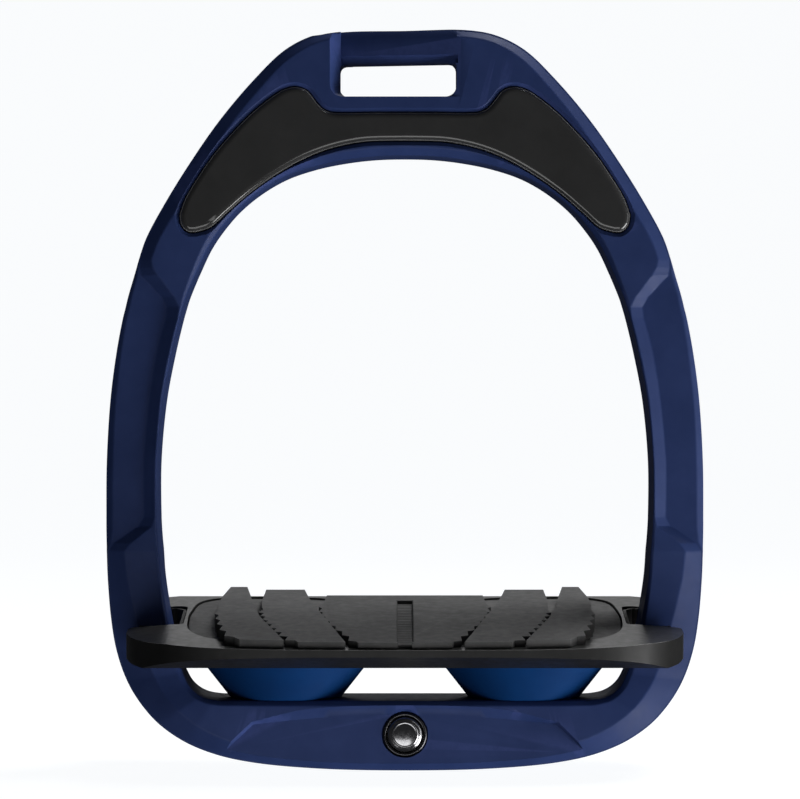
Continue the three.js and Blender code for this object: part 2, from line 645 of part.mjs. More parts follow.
// ---- fittings that travel with the tread --------------------------------------------------------

function topDisc(x) {
  const high = -TREAD_THICK + SOCKET.depth - GAP;
  const low = -TREAD_THICK - 1.8;
  return turned([
    [SCREW.shank + GAP, low - 2], [4.5, low - 2], [4.5, low], [DISC.radius, low], [DISC.radius, high],
    [SCREW.shank + GAP, high], [SCREW.shank + GAP, low - 2],
  ], 28).translate([x, SEAT_Y, 0]);
}

// A rubber liner along the three walls of a fork notch, with upright ribs that face the leg.
function notchLiner(side) {
  const outer = NOTCH.half - GAP;
  const wall = NOTCH.inner + GAP;
  const mouth = 64;
  const run = [];
  const inner = outer - LINER;
  const ribs = 6;
  const corner = 1.5;
  const pitch = (mouth - wall - LINER - corner - 0.2) / ribs;
  for (let i = 0; i < ribs; i++) {
    const x = mouth - i * pitch;
    run.push([x, inner], [x - pitch * 0.5, inner]);
    run.push([x - pitch * 0.5, inner + 0.35], [x - pitch, inner + 0.35]);
  }
  const floor = wall + LINER;
  const upper = [...run, [floor + corner, inner], [floor, inner - corner]];
  const lower = upper.map(([x, y]) => [x, -y]).reverse();
  const loop = [[mouth, outer], ...upper, ...lower, [mouth, -outer], [wall + 1.8, -outer],
    [wall, -outer + 1.8], [wall, outer - 1.8], [wall + 1.8, outer]].reverse();
  const points = side > 0 ? loop : mirrored(loop);
  return slabUp(new THREE.Shape(vectors(points)), -LINER_DEEP, -0.5).translate([0, NOTCH.middle, 0]);
}

function treadScrew(x) {
  const head = 1.6;
  return capScrew(SCREW.head, head, 5.8, 1.9).rotate([180, 0, 0]).translate([x, SEAT_Y, -4.6 + head]);
}

function padScrew({ x, y }) {
  const { shank, head, headThick, length } = PAD_SCREW;
  const body = turned([
    [0, 0], [head, 0], [head, headThick], [shank, headThick], [shank, headThick + length],
    [0, headThick + length],
  ], 16);
  const key = solid(new THREE.CylinderGeometry(1.1, 1.1, headThick, 6).rotateX(Math.PI / 2));
  return body.subtract(key).translate([x, y, -4.9 - headThick]);
}

// ---- assembly -----------------------------------------------------------------------------------

function buildFrame() {
  const group = new THREE.Group();
  addPiece(group, 'branch', branchSolid(), NAVY);
  addPiece(group, 'arch_insert', insertSolid(), GLOSS_BLACK);
  MAGNETS.forEach(({ side, x, z, radius }) => {
    const disc = facingFront(rod(radius, 0, MAGNET_THICK, 20), x, POCKET_FLOOR + MAGNET_THICK + GAP, z);
    addPiece(group, `insert_magnet_${side}`, disc, STEEL);
  });
  addPiece(group, 'badge_cup', badgeCup(), DARK_CHROME);
  addPiece(group, 'badge_dome', badgeDome(), DARK_CHROME);
  return group;
}

function buildBuffers() {
  const group = new THREE.Group();
  [['left', -CONE.x], ['right', CONE.x]].forEach(([side, x]) => {
    addPiece(group, `elastomer_${side}`, elastomer(x), RUBBER_BLUE);
    addPiece(group, `buffer_base_disc_${side}`, baseDisc(), STEEL).position.x = x;
    addPiece(group, `base_washer_${side}`, baseWasher(), STEEL).position.x = x;
    const headThick = 3.4;
    const screw = addPiece(group, `base_screw_${side}`, capScrew(5, headThick, 10, 2.3), STEEL);
    screw.position.set(x, 0, COUNTERBORE.floor - 1 - 2 * GAP - headThick);
  });
  return group;
}

function buildTread() {
  const group = new THREE.Group();
  addPiece(group, 'tread_plate', treadSolid(), TREAD_BLACK);
  addPiece(group, 'grip_pad', padSolid(), GRIP_GREY);
  [['left', -1], ['right', 1]].forEach(([side, sign]) => {
    addPiece(group, `notch_bumper_${side}`, notchLiner(sign), RUBBER_BLACK);
    addPiece(group, `buffer_top_disc_${side}`, topDisc(sign * CONE.x), STEEL);
    addPiece(group, `tread_screw_${side}`, treadScrew(sign * CONE.x), STEEL);
  });
  PAD_SCREWS.forEach((place) => {
    addPiece(group, `pad_screw_${place.name}`, padScrew(place), STEEL);
  });
  group.position.z = TREAD_LEVEL;
  group.rotation.x = TREAD_TILT;
  return group;
}

const stirrup = new THREE.Group();
stirrup.add(buildFrame(), buildBuffers(), buildTread());
stirrup.position.z = -BAR_HEIGHT;

export default stirrup;
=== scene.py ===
"""Studio picture of a flexible-tread stirrup iron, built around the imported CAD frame.

The drawing functions work in millimetres, with heights counted from the middle of the iron, and
place() turns the finished mesh into metres in the frame. The tread and its pad are drawn flat, with
the tread's top face at zero, and place() tilts them.
"""

import math

import bmesh
import bpy
import numpy as np
from mathutils import Matrix, Vector


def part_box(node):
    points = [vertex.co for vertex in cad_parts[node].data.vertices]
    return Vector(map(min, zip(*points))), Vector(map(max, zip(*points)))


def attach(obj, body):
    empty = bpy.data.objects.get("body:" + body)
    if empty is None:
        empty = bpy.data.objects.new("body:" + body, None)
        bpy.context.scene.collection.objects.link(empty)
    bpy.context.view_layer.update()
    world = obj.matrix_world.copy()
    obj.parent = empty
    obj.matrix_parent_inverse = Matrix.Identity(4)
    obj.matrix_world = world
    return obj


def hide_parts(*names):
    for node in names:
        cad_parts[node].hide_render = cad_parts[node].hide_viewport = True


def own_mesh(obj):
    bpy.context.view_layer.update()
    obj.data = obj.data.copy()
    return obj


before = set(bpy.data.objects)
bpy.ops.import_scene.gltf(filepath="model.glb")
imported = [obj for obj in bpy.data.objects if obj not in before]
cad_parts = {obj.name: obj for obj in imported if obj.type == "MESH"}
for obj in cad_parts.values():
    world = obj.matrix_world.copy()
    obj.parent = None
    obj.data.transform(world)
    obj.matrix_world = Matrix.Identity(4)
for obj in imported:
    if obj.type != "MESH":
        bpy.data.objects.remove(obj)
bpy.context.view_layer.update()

MM = 0.001
HALF_HEIGHT = 89.4
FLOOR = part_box("branch")[0].z
MIDDLE = FLOOR + HALF_HEIGHT * MM  # the level that the drawings count from

LEG_DEPTH = 10.2  # half depths, front to back
BASE_DEPTH = 13.1
BASE_TOP = -72.4
BASE_BORE = 4.3
COUNTERBORE = {"radius": 5.9, "floor": -82.6, "mouth": 7.2}  # under the base, for a screw's head
PANEL_SUNK = 1.6  # how far the base's panel lies below its face

SLOT = {"left": -15.8, "right": 12.5, "top": 82.0, "bottom": 73.2}
CHANNEL_END = SLOT["left"] + 0.3
BAR_YAW = math.radians(12)
BAR_DEPTH = 7.3
FRONT_BEAD = {"rise": 1.4, "reach": 3.8}  # the slope between the bar's face and its strap side
BACK_BEAD = {"rise": 0.7, "reach": 0.7}

INSERT = {"proud": 0.5, "thick": 3.2, "pocket": 3.0}
BADGE_LEVEL = -80.6
BADGE_WELL = 1.8  # depth of the badge's well in the panel
BADGE_BACK = -BASE_DEPTH + PANEL_SUNK + 1.5  # where the cup and the dome start

TREAD_TILT = math.radians(7.75)
TREAD_LEVEL = -52.4
TREAD_THICK = 7.0
TREAD_REAR = 24.5  # the toe-side edge
TREAD_NEAR = -43.5  # the lip of the near edge, at its middle
NOTCH = {"inner": 53.4, "half": 11.6, "middle": -0.5}
PAD_TOP = -0.4  # the pad lies this far below the tread's top face
PAD_THICK = 2.0
PAD_WELL = -2.7  # floor of the pad's well in the tread
PAD_SCREWS = ((-5, 12), (5, 12), (-15, -25), (15, -25))
PAD_SCREW = {"hole": 1.7, "well": 2.9, "level": -4.6}
TREAD_SCREW = {"hole": 3.2, "well": 5.2, "level": -4.9}
BLOCKS = {"outer": 3.0, "middle": 2.4, "centre": 2.2}  # heights above the tread

CONE = {"x": 29.0, "foot": 13.5, "head": 20.9, "knee": 9.4, "height": 24.0}
CONE_TOP = -TREAD_THICK - 0.2  # clear of the tread, so that the tread can rock
SOCKET = {"radius": 21.6, "depth": 1.5}  # hides a cone's head under the tread
HEAD_SEAT = {"radius": 10.8, "level": -9.6}  # recesses for the discs in a cone's two ends
FOOT_SEAT = {"radius": 10.3, "level": 2.6}
SEAT_Y = -TREAD_THICK * math.sin(TREAD_TILT)  # where a cone's axis meets the tread
GAP = 0.3

CAMERA = (-0.00117, -0.930, MIDDLE + 0.0001)
LENS = 171.6
TREAD_POSE = Matrix.Translation((0, 0, TREAD_LEVEL)) @ Matrix.Rotation(TREAD_TILT, 4, "X")


# ---- curves and outlines ------------------------------------------------------------------------

def spline(points, steps, closed=False):
    """Centripetal Catmull-Rom through the points, with `steps` samples in each stretch."""
    p = [np.array(q, float) for q in points]
    n = len(p)
    out = []
    stretches = n if closed else n - 1
    for i in range(stretches):
        if closed:
            a, b, c, d = (p[(i + k) % n] for k in (-1, 0, 1, 2))
        else:
            b, c = p[i], p[i + 1]
            a = p[i - 1] if i else 2 * b - c
            d = p[i + 2] if i + 2 < n else 2 * c - b
        t0, t1, t2 = (max(np.linalg.norm(v - u), 1e-8) ** 0.5 for u, v in ((a, b), (b, c), (c, d)))
        m1 = ((b - a) / t0 - (c - a) / (t0 + t1) + (c - b) / t1) * t1
        m2 = ((c - b) / t1 - (d - b) / (t1 + t2) + (d - c) / t2) * t1
        for k in range(steps):
            t = k / steps
            t_2, t_3 = t * t, t * t * t
            out.append((2 * t_3 - 3 * t_2 + 1) * b + (t_3 - 2 * t_2 + t) * m1
                       + (3 * t_2 - 2 * t_3) * c + (t_3 - t_2) * m2)
    if not closed:
        out.append(p[-1])
    return out


def corner(before, here, after, steps):
    """The points of one rounded corner: here is (x, y, rounding), between its two neighbours."""
    p = np.array(here[:2], float)
    u, v = np.array(before[:2], float) - p, np.array(after[:2], float) - p
    long_u, long_v = np.linalg.norm(u), np.linalg.norm(v)
    reach = min(here[2], 0.49 * long_u, 0.49 * long_v)
    if reach < 1e-6:
        return [p]
    a, b = p + u / long_u * reach, p + v / long_v * reach
    shares = [k / steps for k in range(steps + 1)]
    return [(1 - t) ** 2 * a + 2 * t * (1 - t) * p + t * t * b for t in shares]


def rounded(corners, steps=6):
    """A closed polygon of (x, y, rounding) corners, each of them rounded."""
    n = len(corners)
    return [q for i in range(n) for q in corner(corners[i - 1], corners[i], corners[(i + 1) % n], steps)]


def fillet_profile(corners, steps=5):
    """An open profile of (radius, height, rounding) corners, rounded inside its two ends."""
    inside = [q for trio in zip(corners, corners[1:], corners[2:]) for q in corner(*trio, steps)]
    return [np.array(corners[0][:2], float), *inside, np.array(corners[-1][:2], float)]


def mirrored(points):
    """The points mirrored left to right, in reverse order, to close an outline drawn as a half."""
    return [np.array((-q[0], q[1]), float) for q in reversed(points)]


def grown(points, margin):
    """A closed outline moved outwards along its normals."""
    p = np.array(points, float)
    ahead, behind = np.roll(p, -1, 0), np.roll(p, 1, 0)
    along = ahead - behind
    along /= np.maximum(np.linalg.norm(along, axis=1, keepdims=True), 1e-9)
    area = 0.5 * np.sum(p[:, 0] * ahead[:, 1] - ahead[:, 0] * p[:, 1])
    out = np.stack([along[:, 1], -along[:, 0]], 1) * math.copysign(1, area)
    return list(p + out * margin)


# ---- meshes -------------------------------------------------------------------------------------

def object_from(name, verts, faces):
    mesh = bpy.data.meshes.new(name)
    mesh.from_pydata([tuple(v) for v in verts], [], faces)
    mesh.validate()
    obj = bpy.data.objects.new(name, mesh)
    bpy.context.scene.collection.objects.link(obj)
    bm = bmesh.new()
    bm.from_mesh(mesh)
    bmesh.ops.remove_doubles(bm, verts=bm.verts, dist=1e-4)
    bmesh.ops.recalc_face_normals(bm, faces=bm.faces)
    bm.to_mesh(mesh)
    bm.free()
    return obj


def skin(name, loops, ring=False):
    """A closed mesh through loops of equal numbers of points, joined into a ring or capped."""
    count = len(loops[0])
    verts = [v for loop in loops for v in loop]
    faces = []
    last = len(loops) if ring else len(loops) - 1
    for i in range(last):
        here, there = i * count, (i + 1) % len(loops) * count
        for j in range(count):
            k = (j + 1) % count
            faces.append((here + j, there + j, there + k, here + k))
    if not ring:
        faces.append(tuple(range(count)))
        faces.append(tuple(last * count + j for j in reversed(range(count))))
    return object_from(name, verts, faces)


def up(outline, z):
    return [(q[0], q[1], z) for q in outline]


def across(outline, y):
    return [(q[0], y, q[1]) for q in outline]


def turned(name, profile, segments=96):
    """A round solid about Z from (radius, height) pairs that start and end on the axis."""
    verts, faces, rows = [], [], []
    for r, h in profile:
        if r < 1e-6:
            rows.append([len(verts)] * segments)
            verts.append((0, 0, h))
            continue
        rows.append(list(range(len(verts), len(verts) + segments)))
        for j in range(segments):
            a = 2 * math.pi * j / segments
            verts.append((r * math.cos(a), r * math.sin(a), h))
    for low, high in zip(rows, rows[1:]):
        for j in range(segments):
            k = (j + 1) % segments
            face = list(dict.fromkeys((low[j], low[k], high[k], high[j])))
            if len(face) > 2:
                faces.append(tuple(face))
    return object_from(name, verts, faces)


def moved(obj, matrix):
    obj.data.transform(matrix)
    return obj


def apply_modifiers(obj):
    graph = bpy.context.evaluated_depsgraph_get()
    graph.update()
    mesh = bpy.data.meshes.new_from_object(obj.evaluated_get(graph))
    obj.modifiers.clear()
    old = obj.data
    obj.data = mesh
    bpy.data.meshes.remove(old)
    return obj


def boolean(obj, cutter, operation="DIFFERENCE"):
    mod = obj.modifiers.new("cut", "BOOLEAN")
    mod.operation = operation
    mod.solver = "MANIFOLD"
    mod.object = cutter
    apply_modifiers(obj)
    bpy.data.objects.remove(cutter)
    return obj


def soften(obj, width, angle=40, segments=3, weld=2e-3):
    """Welds close points, then rounds the edges sharper than angle."""
    bm = bmesh.new()
    bm.from_mesh(obj.data)
    bmesh.ops.remove_doubles(bm, verts=bm.verts, dist=weld)
    bmesh.ops.dissolve_degenerate(bm, edges=bm.edges, dist=weld)
    bm.to_mesh(obj.data)
    bm.free()
    if width:
        mod = obj.modifiers.new("round", "BEVEL")
        mod.width = width
        mod.segments = segments
        mod.limit_method = "ANGLE"
        mod.angle_limit = math.radians(angle)
        apply_modifiers(obj)
    return obj


def shade(obj, angle=32):
    """Smooth shading with sharp edges above the angle, and normals weighted by area."""
    mesh = obj.data
    bm = bmesh.new()
    bm.from_mesh(mesh)
    for face in bm.faces:
        face.smooth = True
    for edge in bm.edges:
        edge.smooth = edge.calc_face_angle(0.0) < math.radians(angle)
    bm.to_mesh(mesh)
    bm.free()
    mod = obj.modifiers.new("weighted", "WEIGHTED_NORMAL")
    mod.keep_sharp = True
    mod.weight = 60
    return obj


def place(obj, in_tread=False):
    """From drawing millimetres to metres in the frame."""
    pose = TREAD_POSE if in_tread else Matrix.Identity(4)
    return moved(obj, Matrix.Translation((0, 0, MIDDLE)) @ Matrix.Scale(MM, 4) @ pose)


def mark_faces(obj, *tests):
    """Gives the faces that pass a test the piece's second or third material."""
    for face in obj.data.polygons:
        passed = [i + 1 for i, test in enumerate(tests) if test(face.center, face.normal)]
        face.material_index = passed[0] if passed else 0
    return obj


def dress(obj, material, body, slot, *nodes, trim=()):
    """Gives a piece its materials, the body it rides on and the CAD nodes it replaces; the slot argument
    is not used.
    """
    marks = [face.material_index for face in obj.data.polygons]  # clear() forgets them
    obj.data.materials.clear()
    for item in (material, *trim):
        obj.data.materials.append(item)
    obj.data.polygons.foreach_set("material_index", marks)
    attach(obj, body)
    if nodes:
        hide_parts(*nodes)
    return obj


# ---- branch -------------------------------------------------------------------------------------

# Half of the ring, from the top of the arch to the middle of the base: outer point, inner point,
# half depth, edge break, foot and crest of the slope, depth of the side panel, inner chamfer.
SECTIONS = [
    ((0, 89.4), (0, 59.1), 10.2, 0.15, 0.35, 1.9, 1.6, 1.9),
    ((16, 89.3), (7, 58.9), 10.2, 0.15, 0.35, 1.9, 1.6, 1.9),
    ((22.4, 88), (14, 58.1), 10.2, 0.15, 0.35, 2.1, 1.6, 1.9),
    ((29, 84.6), (21.4, 56.6), 10.2, 0.15, 0.35, 2.6, 1.7, 1.8),
    ((36.5, 77.4), (28.8, 54.1), 10.2, 0.15, 0.35, 3, 1.8, 1.7),
    ((44.7, 67.7), (35.2, 50.4), 10.2, 0.15, 0.35, 3.2, 1.9, 1.6),
    ((51.5, 58), (40.6, 45.9), 10.2, 0.15, 0.35, 3.3, 2, 1.5),
    ((57.5, 48.4), (44.9, 40.8), 10.2, 0.15, 0.35, 3.3, 2, 1.3),
    ((62.5, 39.2), (47.4, 37), 10.2, 0.15, 0.35, 3.2, 2.1, 1.2),
    ((64.3, 34), (48.9, 34), 10.2, 0.15, 0.35, 3.1, 2.2, 1.2),
    ((64.9, 32), (49.8, 32), 10.2, 0.4, 0.9, 4, 2.2, 1.1),
    ((65.5, 30), (50.7, 30), 10.2, 0.8, 1.7, 5.8, 2.2, 1),
    ((67, 24.9), (52.8, 24.9), 10.2, 0.9, 8.3, 11.3, 2.2, 0.7),
    ((67.6, 22.4), (53.6, 22.4), 10.2, 1, 10.2, 13.1, 2.2, 0.5),
    ((68.3, 19.6), (54.4, 19.6), 10.2, 1, 10.6, 13.4, 2.2, 0.4),
    ((69.8, 11.6), (56.3, 11.6), 10.2, 1.2, 9.9, 12.9, 2.2, 0.4),
    ((71.3, 0), (58.5, 0), 10.2, 1.4, 9.6, 12.2, 2.2, 0.4),
    ((72.2, -15), (59.9, -15), 10.2, 1.6, 9.1, 11.9, 2.2, 0.3),
    ((72.3, -28.2), (59.9, -28.2), 10.2, 1.6, 9.3, 11.9, 2.2, 0.3),
    ((72.3, -30.6), (59.8, -30.6), 10.2, 1.6, 8, 11.3, 2.2, 0.4),
    ((72.2, -34.6), (59.5, -34.6), 10.2, 1.1, 1.8, 6, 2.2, 0.5),
    ((72.1, -36.6), (59.3, -36.6), 10.2, 0.15, 0.35, 4.4, 2.2, 0.5),
    ((71.9, -43), (58.8, -43), 9.8, 0.15, 0.35, 4.9, 2.3, 0.6),
    ((71.1, -53.2), (57.2, -53), 9.4, 0.15, 0.35, 6.5, 2.6, 0.8),
    ((69.8, -60.8), (55.6, -60), 9.4, 0.15, 0.35, 7.2, 2.9, 0.9),
    ((67.4, -67.7), (53.8, -65.8), 9.8, 0.15, 0.35, 7, 3, 1),
    ((64.2, -73), (51.9, -69.3), 11, 0.15, 0.35, 6.6, 3, 1.1),
    ((59.6, -78.1), (49.2, -71.4), 12.3, 0.15, 0.35, 6, 3, 1.2),
    ((53.2, -82.5), (45.6, -72.3), 12.9, 0.15, 0.35, 5.2, 3, 1.2),
    ((45.5, -85.6), (40.5, BASE_TOP), 13.1, 0.15, 0.35, 4.4, 3, 1.2),
    ((36, -87.6), (33, BASE_TOP), 13.1, 0.15, 0.35, 3.8, 3, 1.2),
    ((20, -89), (18, BASE_TOP), 13.1, 0.15, 0.35, 3.4, 3, 1.2),
    ((0, -89.4), (0, BASE_TOP), 13.1, 0.15, 0.35, 3.4, 3, 1.2),
]


def section_loop(outer, inner, sizes):
    """Points of one section of the ring with its corners rounded."""
    depth, edge, foot, crest, sunk, inside = sizes
    width = float(np.linalg.norm(inner - outer))
    along = (inner - outer) / width
    panel = depth - sunk
    least, soft, crisp = 0.3, 0.4, 0.35
    inside = max(inside, least)
    front = [
        (0, panel - edge * 0.8, soft), (edge, panel, soft), (foot, panel, crisp),
        (crest, depth, soft), (max(crest + least, width - inside), depth, crisp),
        (width, depth - inside, soft),
    ]
    loop = [(d, -y, r) for d, y, r in front] + [(d, y, r) for d, y, r in reversed(front)]
    return [(*(outer + along * d), y) for d, y in rounded(loop, 3)]


def ring_loops(steps=8):
    """The sections all round the ring, with their places and sizes blended in between."""
    full = SECTIONS + [((-o[0], o[1]), (-i[0], i[1]), *rest) for o, i, *rest in SECTIONS[-2:0:-1]]
    outer = spline([s[0] for s in full], steps, closed=True)
    inner = spline([s[1] for s in full], steps, closed=True)
    loops = []
    for i, section in enumerate(full):
        here = np.array(section[2:], float)
        there = np.array(full[(i + 1) % len(full)][2:], float)
        for k in range(steps):
            sizes = here + (there - here) * k / steps
            n = i * steps + k
            loops.append([(x, y, z) for x, z, y in section_loop(outer[n], inner[n], sizes)])
    return loops


def slot_outline():
    left, right, top, bottom = SLOT["left"], SLOT["right"], SLOT["top"], SLOT["bottom"]
    return rounded([(left, bottom, 3.0), (right, bottom, 3.2), (right, top, 2.0), (left, top, 2.0)], 8)


def bar_face(x):
    """Depth of the oblique bar's front face at x."""
    return -BAR_DEPTH - x * math.tan(BAR_YAW)


def channel_cutter():
    """What is cut away in front of the oblique eye bar: its end wall leans out and has a round foot."""
    end, lean, foot = CHANNEL_END, -0.42, 3.4
    far, high = 60, SLOT["top"] + 20
    outline = rounded([(end, SLOT["bottom"], foot), (far, SLOT["bottom"], 0), (far, high, 0),
                       (end, high, 0)], 8)
    deep = bar_face(end)
    loops = [[(x + lean * (deep - y), y, z) for x, z in outline] for y in (-16.0, 4.0)]
    channel = skin("channel", loops)
    before_bar = skin("before_bar", [
        [(x, -20, 60), (x, bar_face(x), 60), (x, bar_face(x), 140), (x, -20, 140)]
        for x in (-30, 40)])
    return boolean(channel, before_bar, "INTERSECT")


def bar_chamfer(level, rise, reach, right):
    """Cuts the bar's long edge at the level: rise up (or down) its face and reach under (or over) it."""
    spare = 0.5
    loops = []
    for x in (CHANNEL_END, right):
        face = bar_face(x)
        loops.append([(x, face - spare * reach, level - spare * rise),
                      (x, face - spare * reach, level + (1 + spare) * rise),
                      (x, face + (1 + spare) * reach, level - spare * rise)])
    return skin("bar_chamfer", loops)


def arch_trim():
    """Lowers the arch beside the channel, so that its edge runs on into the bar's upper edge."""
    loops = [[(-24, y, 87.75), (-15, y, 88.95), (-15, y, 95), (-24, y, 95)] for y in (-14, -4.6)]
    return skin("trim", loops)


# The right half of the insert's outline: its upper edge, its tip and its lower edge.
INSERT_TOP = [
    (0, 69.3), (8, 69.3), (14.4, 69.2), (17.8, 69.4), (20, 70.4), (21.7, 72.3), (23.6, 74.6),
    (26.1, 75.5), (28.9, 75), (31.7, 73.4), (36.5, 69.6), (41.3, 64.8), (46.2, 59.1), (50.2, 53.3),
    (53, 48.5), (54.4, 44.6),
]
INSERT_TIP = [(54.4, 44.6), (53.9, 42.1), (52.3, 40.6), (50.4, 40.5)]
INSERT_LOW = [
    (50.4, 40.5), (47, 41.6), (42.9, 45.2), (37.3, 50), (30.9, 54.5), (24.5, 58.1), (18.8, 60.4),
    (13.2, 61.8), (8.9, 62.4), (0, 62.6),
]


def insert_outline(margin=0.0):
    half = spline(INSERT_TOP, 6)[:-1] + spline(INSERT_TIP, 5)[:-1] + spline(INSERT_LOW, 8)
    return grown(half + mirrored(half[1:-1]), margin)


def pocket_cutter():
    """The insert's pocket, with a chamfered rim that runs on above the face."""
    face, rim, spare = -LEG_DEPTH, 1.15, 0.9
    loops = [(rim + spare, face - 0.9 * spare), (rim, face), (GAP, face + 0.8),
             (GAP, face + INSERT["pocket"])]
    return skin("pocket", [across(insert_outline(m), y) for m, y in loops])


def panel_cutter():
    """The shallow trapezoid panel in the face of the base."""
    reach = 1.0  # how far the cutter goes on above the face
    upper = [(44.6, -92), (44.6, -84.9), (36.9, -77.5), (24.7, -74.6), (12, -73.5), (0, -73.2)]
    lower = [(43.7, -92), (43.7, -84.85), (36.5, -78.2), (24.5, -76.9), (12, -76.1), (0, -75.7)]
    upper, lower = (np.array(half[:2] + spline(half[2:], 6), float) for half in (upper, lower))
    outward = lower + (upper - lower) * (PANEL_SUNK + reach) / PANEL_SUNK
    return skin("panel", [
        across([*half, *mirrored(half[:-1])], y)
        for half, y in ((outward, -BASE_DEPTH - reach), (lower, -BASE_DEPTH + PANEL_SUNK))])


def to_front(obj, y):
    """A turned piece drawn about Z, laid to face the front at the badge's place."""
    return moved(obj, Matrix.Translation((0, y, BADGE_LEVEL)) @ Matrix.Rotation(math.pi / 2, 4, "X"))


def rod(name, radius, low, high, segments=64):
    """A plain cylinder about Z."""
    return turned(name, [(0, low), (radius, low), (radius, high), (0, high)], segments)


def ahead(obj):
    """The front takes a cutter as it is drawn."""
    return obj


def behind(obj):
    """The same cutter for the back of the iron."""
    return moved(obj, Matrix.Rotation(math.pi, 4, "Z"))


def make_branch():
    obj = skin("branch_moulding", ring_loops(), ring=True)
    right = SLOT["right"]
    for side, bead in ((ahead, FRONT_BEAD), (behind, BACK_BEAD)):
        boolean(obj, side(channel_cutter()))
        boolean(obj, side(bar_chamfer(SLOT["top"], bead["rise"], bead["reach"], right + 0.3)))
        boolean(obj, side(bar_chamfer(HALF_HEIGHT - 0.1, -1.9, 1.2, right)))
        boolean(obj, side(arch_trim()))
    boolean(obj, skin("slot", [across(slot_outline(), y) for y in (-20, 20)]))
    boolean(obj, pocket_cutter())
    boolean(obj, panel_cutter())
    boolean(obj, behind(panel_cutter()))
    well, rim, high = 5.6, 6.2, 9
    badge = turned("badge_well", fillet_profile([
        (0, 0, 0), (well, 0, 0.2), (well, BADGE_WELL, 0), (rim, BADGE_WELL + rim - well, 0),
        (rim, high, 0), (0, high, 0)]))
    boolean(obj, to_front(badge, -BASE_DEPTH + PANEL_SUNK + BADGE_WELL))
    for x in (-CONE["x"], CONE["x"]):
        shift = Matrix.Translation((x, 0, 0))
        boolean(obj, moved(rod("bore", BASE_BORE, -84, BASE_TOP + 1), shift))
        radius, floor, low = COUNTERBORE["radius"], COUNTERBORE["floor"], -95
        mouth = turned("mouth", [(0, low), (COUNTERBORE["mouth"], low), (radius, -88),
                                 (radius, floor), (0, floor)], 64)
        boolean(obj, moved(mouth, shift))
    soften(obj, 0.22, angle=38, segments=2)
    return shade(place(obj))


# ---- insert and badge ---------------------------------------------------------------------------

def make_insert():
    """A plate with a rounded edge, and a fine step round it whose front faces are painted pale grey as a
    highlight line.
    """
    front = -LEG_DEPTH - INSERT["proud"]
    foot, width, height, steps = 0.22, 1.3, 0.85, 7
    rows = [(0, front + INSERT["thick"]), (0, front + height + 0.15), (-0.1, front + height),
            (-foot, front + height)]
    for i in range(1, steps + 1):
        a = i / steps * math.pi / 2
        rows.append((-foot - width * (1 - math.cos(a)), front + height * (1 - math.sin(a))))
    obj = skin("arch_insert_gloss", [across(insert_outline(m), y) for m, y in rows])
    # The step's front faces take the pale second material: a painted highlight line round the insert.
    mark_faces(obj, lambda c, n: n.y < -0.6 and c.y > front + height - 0.1)
    return shade(place(obj), 30)


def make_badge_cup():
    profile = fillet_profile([
        (0, 0, 0), (5.3, 0, 0.1), (5.3, 1.5, 0.2), (4.9, 1.75, 0.2), (4.5, 1.6, 0.2), (4.4, 0.5, 0.1),
        (0, 0.5, 0)])
    obj = turned("badge_cup_ring", profile)
    to_front(obj, BADGE_BACK)
    return shade(place(obj), 60)


def make_badge_dome():
    """A shallow dome with one plain raised ring."""
    rise, radius, foot, ring, half = 1.3, 4.2, 1.4, 3.0, 0.16
    lift, steps = 0.14, 40
    profile = [(0, 0.7), (radius - 0.1, 0.7), (radius, 0.85), (radius, foot)]
    for i in range(1, steps + 1):
        a = i / steps * math.pi / 2
        r, h = radius * math.cos(a), foot + rise * math.sin(a)
        profile.append((r, h + lift if abs(r - ring) < half else h))
    obj = turned("badge_dome_lens", profile)
    to_front(obj, BADGE_BACK)
    return shade(place(obj), 60)


# ---- tread and pad ------------------------------------------------------------------------------

def tread_outline():
    inner, half, middle = NOTCH["inner"], NOTCH["half"], NOTCH["middle"]
    toe, heel, tip = middle + half, middle - half, 66.6
    far = rounded([(0, TREAD_REAR, 0), (tip, TREAD_REAR, 4.5), (tip, toe, 2), (inner, toe, 2),
                   (inner, heel, 2), (tip, heel, 2), (tip, -19, 0)], 6)
    near = spline([(tip, -19), (64.8, -25.5), (60.6, -32), (55, -36.8), (46, -40.4), (30, -42.8),
                   (0, TREAD_NEAR)], 8)
    half_loop = far + near[1:]
    return half_loop + mirrored(half_loop[1:-1])


def pad_outline(margin=0.0):
    half = [(0, 16), (12, 17.2), (21, 21.4), (28, 22.5), (44, 22.5), (49.8, 18), (52, 5),
            (52.3, -6), (51.2, -19), (47.4, -27), (40, -32.2), (28, -35.6), (0, -37)]
    loop = half + [tuple(q) for q in mirrored(half[1:-1])]
    return grown(spline(loop, 6, closed=True), margin)


